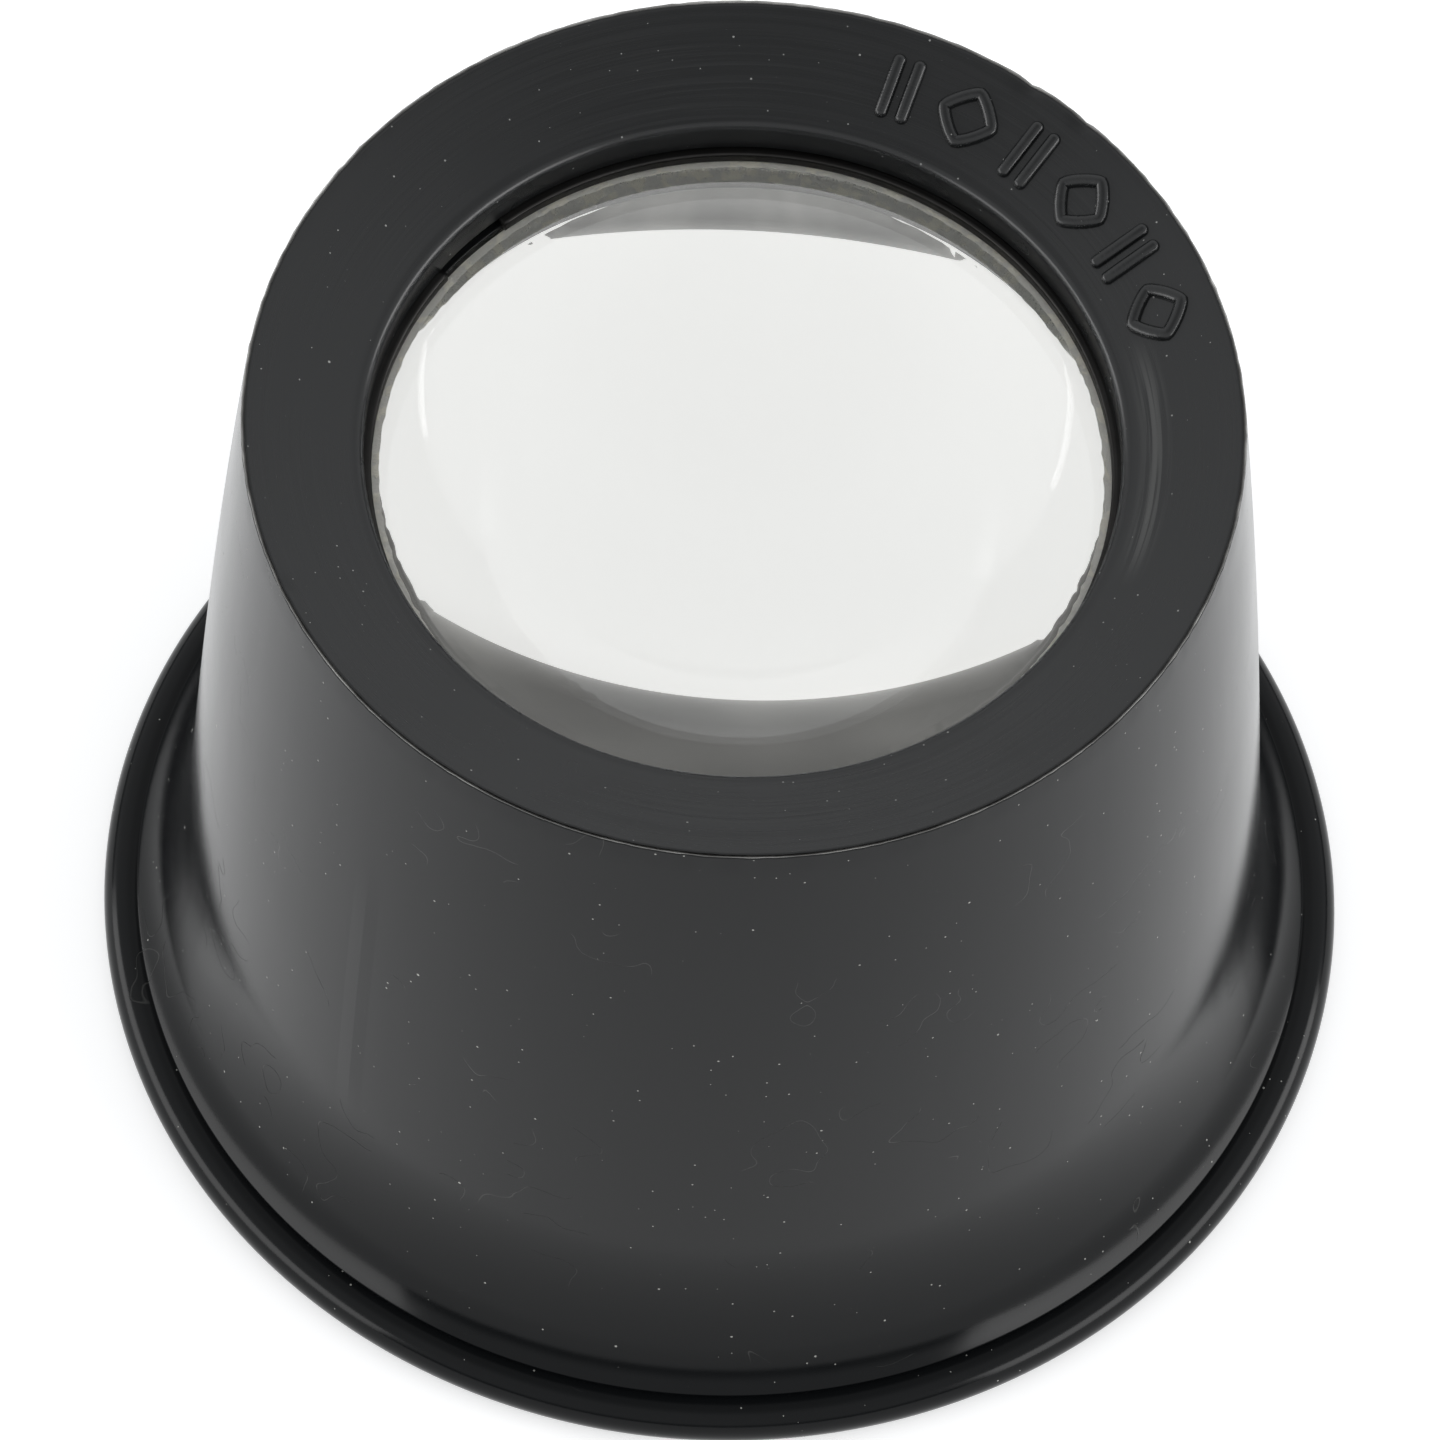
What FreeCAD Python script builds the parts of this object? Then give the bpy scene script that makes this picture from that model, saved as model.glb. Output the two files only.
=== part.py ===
"""Watchmaker's viewing loupe: a moulded eye cup, a screw-in front ring, its lens and a split snap ring.

Frame: +Z runs up the optical axis, the loupe stands on its eye rim at z = 0 and the lens end is on top.
All sizes are in millimetres.
"""

import FreeCAD, Part

import math
import os

import Sketcher

# Driving dimensions. Each cell of the sheet holds one plain number.
DIMENSIONS = {
    # eye cup, outside
    "total_height": 28.0,
    "mouth_radius": 14.5,
    "foot_inset": 1.61,
    "foot_height": 7.3,
    "side_curve": 424.0,
    "flare_inset": 0.82,
    "flare_height": 2.95,
    "flare_curve": 18.0,
    "foot_fillet": 3.43,
    "flange_radius": 17.54,
    "bead_radius": 0.8,
    "bead_offset": 0.2,
    # eye cup, inside
    "foot_wall": 0.75,
    "relief_gap": 0.3,
    "relief_slope": 0.5,
    "rim_land": 0.5,
    "rim_round": 0.5,
    "rim_flare_height": 3.0,
    "rim_flare_curve": 2.4,
    "collar_length": 3.25,
    # front ring
    "face_dish": 1.36,
    "face_lip": 0.3,
    "flange_drop": 1.6,
    "seam_gap": 0.1,
    "ledge_gap": 0.05,
    "skirt_wall": 1.34,
    "skirt_chamfer": 0.25,
    "ledge_thickness": 0.9,
    # lens
    "lens_radius": 10.85,
    "lens_curve": 41.0,
    "lens_edge": 1.8,
    "lens_depth": 3.0,
    "bevel_width": 0.35,
    "bevel_height": 0.2,
    "bore_clearance": 0.11,
    "seat_clearance": 0.02,
    # split snap ring and its groove
    "snap_overlap": 0.13,
    "snap_thickness": 0.42,
    "snap_lift": 0.1,
    "snap_groove_depth": 0.44,
    "snap_clearance": 0.04,
    "snap_split": 2.5,
    "snap_split_azimuth": 139.0,
    # thread between the ring's skirt and the cup's collar
    "thread_pitch": 1.0,
    "thread_depth": 0.45,
    "thread_crest": 0.22,
    "thread_base": 0.62,
    "thread_turns": 2.2,
    "thread_clearance": 0.08,
    "thread_rise": 1.55,
    # raised marks on the ring's face
    "mark_offset": 0.07,
    "mark_first_azimuth": 71.5,
    "mark_step": 9.8,
    "mark_length": 2.0,
    "mark_stroke": 0.42,
    "mark_relief": 0.2,
    "mark_root": 0.15,
}

MARK_COUNT = 6
FULL_TURN = 360.0
# The thread's cutter runs past both ends of the collar by this many turns.
CUTTER_OVERRUN_TURNS = 1
# How far a thread's root reaches into the wall that it is joined to or cut from.
THREAD_ROOT = 0.1

doc = FreeCAD.newDocument("loupe")
dims = doc.addObject("Spreadsheet::Sheet", "dims")
for row, (alias, number) in enumerate(DIMENSIONS.items(), start=1):
    dims.set(f"A{row}", alias)
    dims.set(f"B{row}", str(number))
    dims.setAlias(f"B{row}", alias)
doc.recompute()


# Places worked out from the driving dimensions, written once and used by every piece that meets there.
BORE_RADIUS = "(dims.lens_radius + dims.bore_clearance)"
LENS_FRONT = "(dims.total_height - dims.lens_depth)"
LENS_REAR = f"({LENS_FRONT} - dims.lens_edge)"
LENS_CLEAR_RADIUS = "(dims.lens_radius - dims.bevel_width)"
LENS_SAG = f"(dims.lens_curve - sqrt(dims.lens_curve ^ 2 - {LENS_CLEAR_RADIUS} ^ 2))"
SEAT_TOP = f"({LENS_REAR} - dims.bevel_height - dims.seat_clearance)"
SKIRT_BOTTOM = f"({SEAT_TOP} - dims.ledge_thickness)"
SKIRT_RADIUS = f"({BORE_RADIUS} + dims.skirt_wall)"
RING_UNDERSIDE = "(dims.total_height - dims.flange_drop)"
RING_RADIUS = "(dims.mouth_radius - dims.seam_gap)"
COLLAR_TOP = f"({RING_UNDERSIDE} - dims.ledge_gap)"
COLLAR_BOTTOM = f"({COLLAR_TOP} - dims.collar_length)"
COLLAR_RADIUS = f"({SKIRT_RADIUS} + dims.thread_clearance)"
CAVITY_TOP_RADIUS = f"({COLLAR_RADIUS} + dims.thread_depth + dims.relief_gap)"
CAVITY_TOP = f"({COLLAR_BOTTOM} - dims.relief_slope)"
SNAP_BOTTOM = f"({LENS_FRONT} + dims.snap_lift)"
SNAP_TOP = f"({SNAP_BOTTOM} + dims.snap_thickness)"
SNAP_GROOVE_RADIUS = f"({BORE_RADIUS} + dims.snap_groove_depth)"
BEAD_CENTRE_RADIUS = "(dims.flange_radius + dims.bead_offset)"
FOOT_RADIUS = "(dims.flange_radius - dims.foot_inset)"
FLARE_RADIUS = "(dims.flange_radius - dims.flare_inset)"
BEAD_TOP = "(dims.bead_radius + sqrt(dims.bead_radius ^ 2 - dims.bead_offset ^ 2))"
LAND_RADIUS = f"({BEAD_CENTRE_RADIUS} - dims.rim_land)"
THREAD_START = f"({SKIRT_BOTTOM} + dims.thread_rise)"
# The marks sit just outside the middle of the ring's face.
MARK_RADIUS = f"(({RING_RADIUS} + {BORE_RADIUS}) / 2 + dims.mark_offset)"


def value(expression):
    """Return an expression's number, worked out from the sheet."""
    result = dims.evalExpression(str(expression))
    return float(getattr(result, "Value", result))


def origin_plane(body, role):
    """Return the body's own origin plane with this role."""
    for feature in body.Origin.OriginFeatures:
        if feature.Role == role:
            return feature
    raise ValueError(f"{body.Label} has no {role}")


def arc_between(start, end, radius, left):
    """Return the short arc from start to end whose centre is on the left (or right) of that direction."""
    chord = end - start
    height = math.sqrt(radius ** 2 - (chord.Length / 2) ** 2)
    normal = FreeCAD.Vector(-chord.y, chord.x, 0).normalize()
    centre = (start + end) * 0.5 + normal * (height if left else -height)
    start_angle = math.atan2(start.y - centre.y, start.x - centre.x)
    end_angle = math.atan2(end.y - centre.y, end.x - centre.x)
    circle = Part.Circle(centre, FreeCAD.Vector(0, 0, 1), radius)
    if left:
        return Part.ArcOfCircle(circle, start_angle, end_angle)
    return Part.ArcOfCircle(circle, end_angle, start_angle)


def add_profile(body, name, corners):
    """Draw a closed outline on the body's XZ plane, with every corner and arc bound to the sheet.

    A corner is (radius, height) for a straight side to the next corner, or (radius, height, curve,
    "left" or "right") for an arc of that radius to the next one, with its centre on that side.
    """
    sketch = body.newObject("Sketcher::SketchObject", name)
    sketch.AttachmentSupport = (origin_plane(body, "XZ_Plane"), [""])
    sketch.MapMode = "FlatFace"
    points = [FreeCAD.Vector(value(corner[0]), value(corner[1]), 0) for corner in corners]
    ends = []
    for index, corner in enumerate(corners):
        start = points[index]
        end = points[(index + 1) % len(points)]
        if len(corner) == 2:
            sketch.addGeometry(Part.LineSegment(start, end))
            ends.append((1, 2))
            continue
        left = corner[3] == "left"
        sketch.addGeometry(arc_between(start, end, value(corner[2]), left))
        ends.append((1, 2) if left else (2, 1))
    for index, corner in enumerate(corners):
        following = (index + 1) % len(corners)
        joint = Sketcher.Constraint("Coincident", index, ends[index][1], following, ends[following][0])
        sketch.addConstraint(joint)
    for index, corner in enumerate(corners):
        for direction, expression, axis in (("DistanceX", corner[0], -2), ("DistanceY", corner[1], -1)):
            if expression == "0":
                sketch.addConstraint(Sketcher.Constraint("PointOnObject", index, ends[index][0], axis))
                continue
            distance = Sketcher.Constraint(direction, -1, 1, index, ends[index][0], value(expression))
            number = sketch.addConstraint(distance)
            sketch.setExpression(f"Constraints[{number}]", expression)
        if len(corner) > 2:
            number = sketch.addConstraint(Sketcher.Constraint("Radius", index, value(corner[2])))
            sketch.setExpression(f"Constraints[{number}]", corner[2])
    return sketch


def revolve(body, name, sketch):
    """Turn the sketch right round the vertical axis."""
    feature = body.newObject("PartDesign::Revolution", name)
    feature.Profile = sketch
    feature.ReferenceAxis = (sketch, ["V_Axis"])
    feature.Angle = FULL_TURN
    doc.recompute()
    return feature


def add_helix(body, kind, name, sketch, turns):
    """Sweep the sketch up a right-hand helix round the vertical axis, adding to the body or cutting it."""
    before = body.Shape.Volume
    feature = body.newObject(kind, name)
    feature.Profile = sketch
    feature.ReferenceAxis = (sketch, ["V_Axis"])
    feature.Mode = "pitch-turns-angle"
    feature.setExpression("Pitch", "dims.thread_pitch")
    feature.setExpression("Turns", turns)
    doc.recompute()
    grown = body.Shape.Volume - before
    if (grown > 0) != (kind == "PartDesign::AdditiveHelix"):
        raise RuntimeError(f"{name} changed the volume of {body.Label} the wrong way")
    return feature


def make_eye_cup():
    """The moulded shell: tapered barrel, flared foot, beaded eye rim and the threaded collar inside."""
    body = doc.addObject("PartDesign::Body", "eye_cup")
    outline = [
        ("dims.mouth_radius", "dims.total_height"),
        ("dims.mouth_radius - dims.flange_drop - dims.ledge_gap", COLLAR_TOP),
        (COLLAR_RADIUS, COLLAR_TOP),
        (COLLAR_RADIUS, COLLAR_BOTTOM),
        (CAVITY_TOP_RADIUS, CAVITY_TOP),
        (f"{FOOT_RADIUS} - dims.foot_wall", "dims.rim_flare_height", "dims.rim_flare_curve", "left"),
        (f"{LAND_RADIUS} - dims.rim_round", "dims.rim_round", "dims.rim_round", "left"),
        (LAND_RADIUS, "0"),
        (BEAD_CENTRE_RADIUS, "0", "dims.bead_radius", "left"),
        (f"{BEAD_CENTRE_RADIUS} + dims.bead_radius", "dims.bead_radius", "dims.bead_radius", "left"),
        ("dims.flange_radius", BEAD_TOP, "dims.foot_fillet", "right"),
        (FLARE_RADIUS, "dims.flare_height", "dims.flare_curve", "right"),
        (FOOT_RADIUS, "dims.foot_height", "dims.side_curve", "left"),
    ]
    revolve(body, "cup_shell", add_profile(body, "cup_outline", outline))
    add_thread_groove(body)
    return body


def add_thread_groove(body):
    """Cut the collar's internal thread, the ridge's own profile plus its clearance all round."""
    crest_half = "(dims.thread_crest / 2 + dims.thread_clearance)"
    base_half = "(dims.thread_base / 2 + dims.thread_clearance)"
    drop = f"dims.thread_pitch * {CUTTER_OVERRUN_TURNS}"
    centre = f"({THREAD_START} - {drop})"
    taper = "((dims.thread_base - dims.thread_crest) / 2 / dims.thread_depth)"
    root_radius = f"({COLLAR_RADIUS} - {THREAD_ROOT})"
    root_half = f"({base_half} + {taper} * {THREAD_ROOT})"
    crest_radius = f"{COLLAR_RADIUS} + dims.thread_depth"
    outline = [
        (root_radius, f"{centre} - {root_half}"),
        (crest_radius, f"{centre} - {crest_half}"),
        (crest_radius, f"{centre} + {crest_half}"),
        (root_radius, f"{centre} + {root_half}"),
    ]
    sketch = add_profile(body, "groove_outline", outline)
    reach = f"({COLLAR_TOP} - {centre}) / dims.thread_pitch + {CUTTER_OVERRUN_TURNS}"
    add_helix(body, "PartDesign::SubtractiveHelix", "collar_thread", sketch, reach)


def make_ring_body():
    """The front ring as turned: dished face, lens bore with the snap groove, lens seat and threaded skirt."""
    body = doc.addObject("PartDesign::Body", "ring_body")
    slope = f"(dims.face_dish / ({RING_RADIUS} - {BORE_RADIUS}))"
    lip_height = f"(dims.total_height - dims.face_dish + dims.face_lip * {slope})"
    groove_top = f"{SNAP_TOP} + dims.snap_clearance"
    groove_bottom = f"{SNAP_BOTTOM} - dims.snap_clearance"
    outline = [
        (RING_RADIUS, "dims.total_height"),
        (f"{BORE_RADIUS} + dims.face_lip", lip_height, "dims.face_lip", "left"),
        (BORE_RADIUS, f"{lip_height} - dims.face_lip"),
        (BORE_RADIUS, groove_top),
        (SNAP_GROOVE_RADIUS, groove_top),
        (SNAP_GROOVE_RADIUS, groove_bottom),
        (BORE_RADIUS, groove_bottom),
        (BORE_RADIUS, SEAT_TOP),
        (LENS_CLEAR_RADIUS, SEAT_TOP),
        (LENS_CLEAR_RADIUS, SKIRT_BOTTOM),
        (f"{SKIRT_RADIUS} - dims.skirt_chamfer", SKIRT_BOTTOM),
        (SKIRT_RADIUS, f"{SKIRT_BOTTOM} + dims.skirt_chamfer"),
        (SKIRT_RADIUS, RING_UNDERSIDE),
        (f"{RING_RADIUS} - dims.flange_drop", RING_UNDERSIDE),
    ]
    revolve(body, "ring_turning", add_profile(body, "ring_outline", outline))
    taper = "((dims.thread_base - dims.thread_crest) / 2 / dims.thread_depth)"
    root_radius = f"({SKIRT_RADIUS} - {THREAD_ROOT})"
    root_half = f"(dims.thread_base / 2 + {taper} * {THREAD_ROOT})"
    crest_radius = f"{SKIRT_RADIUS} + dims.thread_depth"
    ridge = [
        (root_radius, f"{THREAD_START} - {root_half}"),
        (crest_radius, f"{THREAD_START} - dims.thread_crest / 2"),
        (crest_radius, f"{THREAD_START} + dims.thread_crest / 2"),
        (root_radius, f"{THREAD_START} + {root_half}"),
    ]
    sketch = add_profile(body, "ridge_outline", ridge)
    add_helix(body, "PartDesign::AdditiveHelix", "skirt_thread", sketch, "dims.thread_turns")
    return body


def face_placement(azimuth, offset, spin):
    """Place a mark on the dished face: local X runs outwards up the slope and local Z out of the face."""
    radius = value(MARK_RADIUS)
    slope = value("dims.face_dish") / (value(RING_RADIUS) - value(BORE_RADIUS))
    height = value("dims.total_height") - (value(RING_RADIUS) - radius) * slope
    turn = FreeCAD.Rotation(FreeCAD.Vector(0, 0, 1), azimuth)
    tilt = FreeCAD.Rotation(FreeCAD.Vector(0, 1, 0), -math.degrees(math.atan(slope)))
    around = FreeCAD.Rotation(FreeCAD.Vector(0, 0, 1), spin)
    rotation = turn.multiply(tilt).multiply(around)
    centre = turn.multVec(FreeCAD.Vector(radius, 0, height))
    return FreeCAD.Placement(centre + rotation.multVec(offset), rotation)


def add_stroke(name, azimuth, spin, along, across, length, width):
    """Add one raised stroke as a box, its centre moved along and across its own directions."""
    stroke = doc.addObject("Part::Box", name)
    stroke.setExpression("Length", length)
    stroke.setExpression("Width", width)
    stroke.setExpression("Height", "dims.mark_relief + dims.mark_root")
    corner_x = value(along) - value(length) / 2
    corner_y = value(across) - value(width) / 2
    corner = FreeCAD.Vector(corner_x, corner_y, -value("dims.mark_root"))
    stroke.Placement = face_placement(azimuth, corner, spin)
    return stroke


def make_lens_ring():
    """Fuse the turned ring and its raised marks, twin bars and open lozenges in turn."""
    pieces = [make_ring_body()]
    bar_offset = "(dims.mark_length - dims.mark_stroke) / 5"
    side = "(dims.mark_length / sqrt(2))"
    edge = f"({side} - dims.mark_stroke) / 2"
    for index in range(MARK_COUNT):
        azimuth = value("dims.mark_first_azimuth") - index * value("dims.mark_step")
        if index % 2 == 0:
            for sign in ("-", ""):
                name = f"bar_{len(pieces)}"
                across = f"{sign}({bar_offset})"
                stroke = add_stroke(name, azimuth, 0, "0", across, "dims.mark_length", "dims.mark_stroke")
                pieces.append(stroke)
            continue
        for quarter in range(4):
            name = f"lozenge_{len(pieces)}"
            spin = 45 + 90 * quarter
            pieces.append(add_stroke(name, azimuth, spin, "0", edge, side, "dims.mark_stroke"))
    ring = doc.addObject("Part::MultiFuse", "lens_ring")
    ring.Shapes = pieces
    ring.Refine = False
    doc.recompute()
    return ring


def make_lens():
    """The biconvex lens, with a ground rim and a ground bevel at both of its edges."""
    body = doc.addObject("PartDesign::Body", "lens")
    outline = [
        ("0", f"{LENS_FRONT} + dims.bevel_height + {LENS_SAG}"),
        ("0", f"{LENS_REAR} - dims.bevel_height - {LENS_SAG}", "dims.lens_curve", "left"),
        (LENS_CLEAR_RADIUS, f"{LENS_REAR} - dims.bevel_height"),
        ("dims.lens_radius", LENS_REAR),
        ("dims.lens_radius", LENS_FRONT),
        (LENS_CLEAR_RADIUS, f"{LENS_FRONT} + dims.bevel_height", "dims.lens_curve", "left"),
    ]
    revolve(body, "lens_blank", add_profile(body, "lens_outline", outline))
    return body


def make_snap_ring():
    """The split ring that springs into the bore's groove and keeps the lens on its seat."""
    body = doc.addObject("PartDesign::Body", "snap_ring")
    inner = "dims.lens_radius - dims.snap_overlap"
    outer = f"{SNAP_GROOVE_RADIUS} - dims.snap_clearance"
    outline = [
        (inner, SNAP_BOTTOM),
        (outer, SNAP_BOTTOM),
        (outer, SNAP_TOP),
        (inner, SNAP_TOP),
    ]
    revolve(body, "snap_hoop", add_profile(body, "snap_outline", outline))
    sketch = body.newObject("Sketcher::SketchObject", "split_outline")
    sketch.AttachmentSupport = (origin_plane(body, "XY_Plane"), [""])
    sketch.MapMode = "FlatFace"
    reach = value(SNAP_GROOVE_RADIUS)
    half_split = value("dims.snap_split") / 2
    corners = [(0, -half_split), (reach, -half_split), (reach, half_split), (0, half_split)]
    turn = FreeCAD.Rotation(FreeCAD.Vector(0, 0, 1), value("dims.snap_split_azimuth"))
    points = [turn.multVec(FreeCAD.Vector(x, y, 0)) for x, y in corners]
    for index, point in enumerate(points):
        sketch.addGeometry(Part.LineSegment(point, points[(index + 1) % len(points)]))
    before = body.Shape.Volume
    cut = body.newObject("PartDesign::Pocket", "snap_split_cut")
    cut.Profile = sketch
    cut.Type = "ThroughAll"
    cut.Reversed = True
    doc.recompute()
    if body.Shape.Volume >= before:
        raise RuntimeError("the split was not cut")
    return body


parts = [make_eye_cup(), make_lens_ring(), make_lens(), make_snap_ring()]
doc.recompute()

for item in doc.Objects:
    if "Invalid" in item.State or "Error" in item.State:
        raise RuntimeError(f"{item.Label} failed: {item.State}")
for part in parts:
    shape = part.Shape
    if shape.isNull() or not shape.isValid() or len(shape.Solids) != 1:
        raise RuntimeError(f"{part.Label} is not one valid solid")

os.makedirs("parts", exist_ok=True)
for part in parts:
    part.Shape.exportStep(os.path.join("parts", f"{part.Label}.step"))
    box = part.Shape.optimalBoundingBox(False, False)
    print(f"{part.Label}: {part.Shape.Volume:.1f} mm3, z {box.ZMin:.2f} to {box.ZMax:.2f}")
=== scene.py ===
"""Looks of a watchmaker's viewing loupe: black moulded eye cup, screw-in front ring, lens and snap hoop.

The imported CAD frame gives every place. Sizes in the classes are in millimetres; meshes are made in metres.
"""

import logging
import math
from dataclasses import dataclass
from enum import Enum

import bmesh
import bpy
import numpy as np
from mathutils import Matrix, Vector


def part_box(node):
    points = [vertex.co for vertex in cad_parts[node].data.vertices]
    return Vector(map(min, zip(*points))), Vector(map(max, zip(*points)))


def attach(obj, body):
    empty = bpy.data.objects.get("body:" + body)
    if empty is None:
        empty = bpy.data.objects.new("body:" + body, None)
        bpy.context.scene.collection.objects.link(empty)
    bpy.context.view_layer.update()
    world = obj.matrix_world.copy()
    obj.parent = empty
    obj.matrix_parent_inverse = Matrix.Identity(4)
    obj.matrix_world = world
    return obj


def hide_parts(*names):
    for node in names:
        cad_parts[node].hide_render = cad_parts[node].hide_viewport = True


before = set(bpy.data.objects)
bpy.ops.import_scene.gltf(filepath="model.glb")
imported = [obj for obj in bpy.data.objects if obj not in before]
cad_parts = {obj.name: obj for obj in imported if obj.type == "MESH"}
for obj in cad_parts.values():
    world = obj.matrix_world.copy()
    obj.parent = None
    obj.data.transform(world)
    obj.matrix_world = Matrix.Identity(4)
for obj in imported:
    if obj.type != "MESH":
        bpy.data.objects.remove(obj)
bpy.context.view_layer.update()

MM = 0.001
TURN = 2 * math.pi
GLASS_INDEX = 1.52
log = logging.getLogger("loupe")


class Side(Enum):
    """Which side of its direction of travel an arc's centre is on."""

    LEFT = 1
    RIGHT = -1


# ---------------------------------------------------------------- outlines


def arc_points(start: tuple, end: tuple, radius: float, side: Side, steps: int) -> np.ndarray:
    """Points of the short arc from start to end, both ends included.

    The centre lies on the perpendicular through the chord's middle, at the height that Pythagoras gives.

    Args:
        start: First point, (radius, height).
        end: Last point.
        radius: The arc's own radius.
        side: Side of the direction of travel that the centre is on.
        steps: Number of chords.

    Returns:
        Array of shape (steps + 1, 2).
    """
    first, last = np.array(start, float), np.array(end, float)
    chord = last - first
    length = np.hypot(*chord)
    normal = np.array([-chord[1], chord[0]]) / length * side.value
    centre = (first + last) / 2 + normal * math.sqrt(max(radius**2 - (length / 2) ** 2, 0.0))
    begin = math.atan2(*(first - centre)[::-1])
    finish = math.atan2(*(last - centre)[::-1])
    sweep = (finish - begin + math.pi) % TURN - math.pi
    angle = begin + sweep * np.linspace(0, 1, steps + 1)
    return centre + radius * np.stack([np.cos(angle), np.sin(angle)], axis=1)


def soften(points: np.ndarray, ease: np.ndarray, steps: int = 5) -> np.ndarray:
    """Round the corners of a closed outline, with a guard point on either side of each rounding.

    A rounding is the quadratic curve from one ease before the corner to one ease after it. The guard points
    keep smooth shading inside the rounding.

    Args:
        points: Corners of the closed outline, shape (n, 2).
        ease: How far from its corner each rounding starts, 0 for a point that stays as it is.
        steps: Chords in one rounding.

    Returns:
        The outline with its rounded corners, shape (m, 2).
    """
    along = np.linspace(0, 1, steps + 1)[:, None]
    runs = []
    for before, corner, after, reach in zip(np.roll(points, 1, 0), points, np.roll(points, -1, 0), ease):
        if reach <= 0:
            runs.append(corner[None, :])
            continue
        back = (before - corner) / np.hypot(*(before - corner))
        ahead = (after - corner) / np.hypot(*(after - corner))
        first, last = corner + back * reach, corner + ahead * reach
        curve = first * (1 - along) ** 2 + corner * 2 * along * (1 - along) + last * along**2
        runs.append(np.vstack([corner + back * reach * 1.6, curve, corner + ahead * reach * 1.6]))
    return np.vstack(runs)


class Outline:
    """A closed outline in the (radius, height) plane, drawn corner by corner."""

    def __init__(self) -> None:
        """Start with no points."""
        self.points: list = []
        self.ease: list = []

    def corner(self, radius: float, height: float, ease: float = 0.0) -> "Outline":
        """Go straight to this corner and return the outline; ease is the size of the corner's rounding."""
        self.points.append((radius, height))
        self.ease.append(ease)
        return self

    def arc(
        self, radius: float, height: float, curve: float, side: Side, steps: int, ease: float = 0.0
    ) -> "Outline":
        """Go to this corner along an arc.

        Args:
            radius: Where the arc ends, its distance from the axis.
            height: Where the arc ends, its height.
            curve: The arc's own radius.
            side: Side that the arc's centre is on.
            steps: Chords in the arc.
            ease: Size of the rounding at the arc's end.

        Returns:
            The outline.
        """
        for point in arc_points(self.points[-1], (radius, height), curve, side, steps)[1:-1]:
            self.corner(point[0], point[1])
        return self.corner(radius, height, ease)

    def run(self, radius: float, height: float, steps: int, ease: float = 0.0) -> "Outline":
        """Go straight to this corner through evenly spaced points, steps of them, and return the outline."""
        start = np.array(self.points[-1])
        for share in np.linspace(0, 1, steps + 1)[1:-1]:
            point = start + (np.array([radius, height]) - start) * share
            self.corner(point[0], point[1])
        return self.corner(radius, height, ease)

    def closed(self, meets_start: bool = False) -> np.ndarray:
        """The points with their corners rounded, shape (n, 2); meets_start drops a repeat of the first."""
        count = len(self.points) - int(meets_start)
        return soften(np.array(self.points[:count], float), np.array(self.ease[:count], float))


# ---------------------------------------------------------------- meshes


def grid_quads(rows: int, columns: int, wrap_rows: bool, wrap_columns: bool) -> np.ndarray:
    """Corner numbers of a grid's quads; a wrapped direction joins its end to its start."""
    row = np.arange(rows if wrap_rows else rows - 1)[:, None]
    column = np.arange(columns if wrap_columns else columns - 1)[None, :]
    below, beside = (row + 1) % rows, (column + 1) % columns
    here, under = row * columns, below * columns
    return np.stack([here + column, here + beside, under + beside, under + column], axis=-1).reshape(-1, 4)


def enclosed_volume(points: np.ndarray, triangles: np.ndarray) -> float:
    """Signed volume inside a closed surface: the sum of each triangle's tetrahedron to the origin."""
    a, b, c = (points[triangles[:, k]] for k in range(3))
    return float(np.einsum("ij,ij->i", a, np.cross(b, c)).sum() / 6)


def make_mesh(
    name: str, points: np.ndarray, faces: list, slots: np.ndarray | None = None
) -> bpy.types.Object:
    """Make a closed, smooth mesh object at the origin from points in millimetres.

    Args:
        name: The piece's name.
        points: Vertices, shape (n, 3).
        faces: Corner numbers of each face, all turning the same way.
        slots: Material slot of each face, or None for one material.

    Returns:
        The new object, its faces pointing outwards.
    """
    fans = [[face[0], face[k], face[k + 1]] for face in faces for k in range(1, len(face) - 1)]
    if enclosed_volume(points, np.array(fans)) < 0:
        faces = [face[::-1] for face in faces]
    mesh = bpy.data.meshes.new(name)
    mesh.from_pydata((points * MM).tolist(), [], faces)
    mesh.polygons.foreach_set("use_smooth", np.ones(len(faces), bool))
    if slots is not None:
        mesh.polygons.foreach_set("material_index", slots.astype(np.int32))
    mesh.update()
    piece = bpy.data.objects.new(name, mesh)
    bpy.context.scene.collection.objects.link(piece)
    return piece


def around(columns: int) -> np.ndarray:
    """Azimuths of the columns of a full turn, shape (1, columns)."""
    return (np.arange(columns) / columns * TURN)[None, :]


def turned(radius: np.ndarray, height: np.ndarray, azimuth: np.ndarray) -> np.ndarray:
    """Points of a turned surface: x = radius cos azimuth, y = radius sin azimuth, z = height."""
    shape = np.broadcast_shapes(radius.shape, height.shape, azimuth.shape)
    x, y = radius * np.cos(azimuth), radius * np.sin(azimuth)
    return np.stack([np.broadcast_to(part, shape) for part in (x, y, height)], axis=-1).reshape(-1, 3)


def ripple(azimuth: np.ndarray, seed: int, lowest: int, highest: int, count: int) -> np.ndarray:
    """Uneven height round a turn, from -1 to 1: a sum of cosines with whole waves and seeded phases."""
    rng = np.random.default_rng(seed)
    waves = rng.integers(lowest, highest, count)[:, None]
    phases, sizes = rng.uniform(0, TURN, (count, 1)), rng.uniform(0.4, 1.0, (count, 1))
    heights = (sizes * np.cos(waves * azimuth.reshape(1, -1) + phases)).sum(0) / sizes.sum()
    return (heights / np.abs(heights).max()).reshape(azimuth.shape)


def bell(distance: np.ndarray, width: float) -> np.ndarray:
    """A smooth bump, 1 at no distance and gone at about twice the width."""
    return np.exp(-((distance / width) ** 2))


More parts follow.
